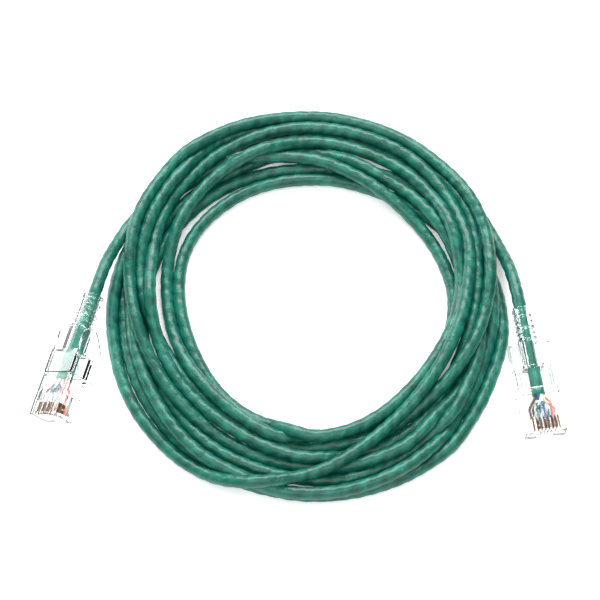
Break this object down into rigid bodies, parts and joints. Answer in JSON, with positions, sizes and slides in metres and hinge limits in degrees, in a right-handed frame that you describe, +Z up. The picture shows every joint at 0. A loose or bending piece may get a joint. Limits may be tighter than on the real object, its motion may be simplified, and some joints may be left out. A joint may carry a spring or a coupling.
{
  "type": "ethernet patch cable",
  "caption": "Slim round network patch cable wound in a loose flat coil, with a clear modular plug, springy latch and ribbed clear boot at each end.",
  "frame": {"origin": "on the table, under the middle of the two plugs and their boots", "axes": "+X from the first plug towards the second, +Y towards the coil, +Z up from the table"},
  "size_m": [0.1474, 0.115, 0.0166],
  "materials": {
    "jacket": "semi-gloss PVC with the twist of the pairs showing through",
    "clear_plastic": "clear moulded polycarbonate",
    "clear_boot": "clear flexible moulding, slightly milky",
    "gold_contact": "gold-plated, polished",
    "wire_white_orange": "satin",
    "wire_orange": "satin",
    "wire_white_green": "satin",
    "wire_blue": "satin",
    "wire_white_blue": "satin",
    "wire_green": "satin",
    "wire_white_brown": "satin",
    "wire_brown": "satin"
  },
  "bodies": {
    "root": {"coil": "jacket", "lead_a": "jacket", "lead_b": "jacket", "housing_a": "clear_plastic", "contacts_a": "gold_contact", "load_bar_a": "clear_plastic", "boot_a": "clear_boot", "wire_1_white_orange_a": "wire_white_orange", "wire_2_orange_a": "wire_orange", "wire_3_white_green_a": "wire_white_green", "wire_4_blue_a": "wire_blue", "wire_5_white_blue_a": "wire_white_blue", "wire_6_green_a": "wire_green", "wire_7_white_brown_a": "wire_white_brown", "wire_8_brown_a": "wire_brown", "housing_b": "clear_plastic", "contacts_b": "gold_contact", "load_bar_b": "clear_plastic", "boot_b": "clear_boot", "wire_1_white_orange_b": "wire_white_orange", "wire_2_orange_b": "wire_orange", "wire_3_white_green_b": "wire_white_green", "wire_4_blue_b": "wire_blue", "wire_5_white_blue_b": "wire_white_blue", "wire_6_green_b": "wire_green", "wire_7_white_brown_b": "wire_white_brown", "wire_8_brown_b": "wire_brown"},
    "latch_a": {"latch_a": "clear_plastic"},
    "latch_b": {"latch_b": "clear_plastic"}
  },
  "joints": [
    {"name": "latch_a_press", "type": "hinge", "parent": "root", "child": "latch_a", "pos_m": [-0.06441, -0.01456, 0.00547], "axis": [0.7186, -0.2713, 0.6403], "range_deg": [0, 10], "stiffness_Nm_per_rad": 0.05},
    {"name": "latch_b_press", "type": "hinge", "parent": "root", "child": "latch_b", "pos_m": [0.06762, -0.01781, 0.00299], "axis": [0.989, 0.1478, 0], "range_deg": [0, 10], "stiffness_Nm_per_rad": 0.05}
  ]
}
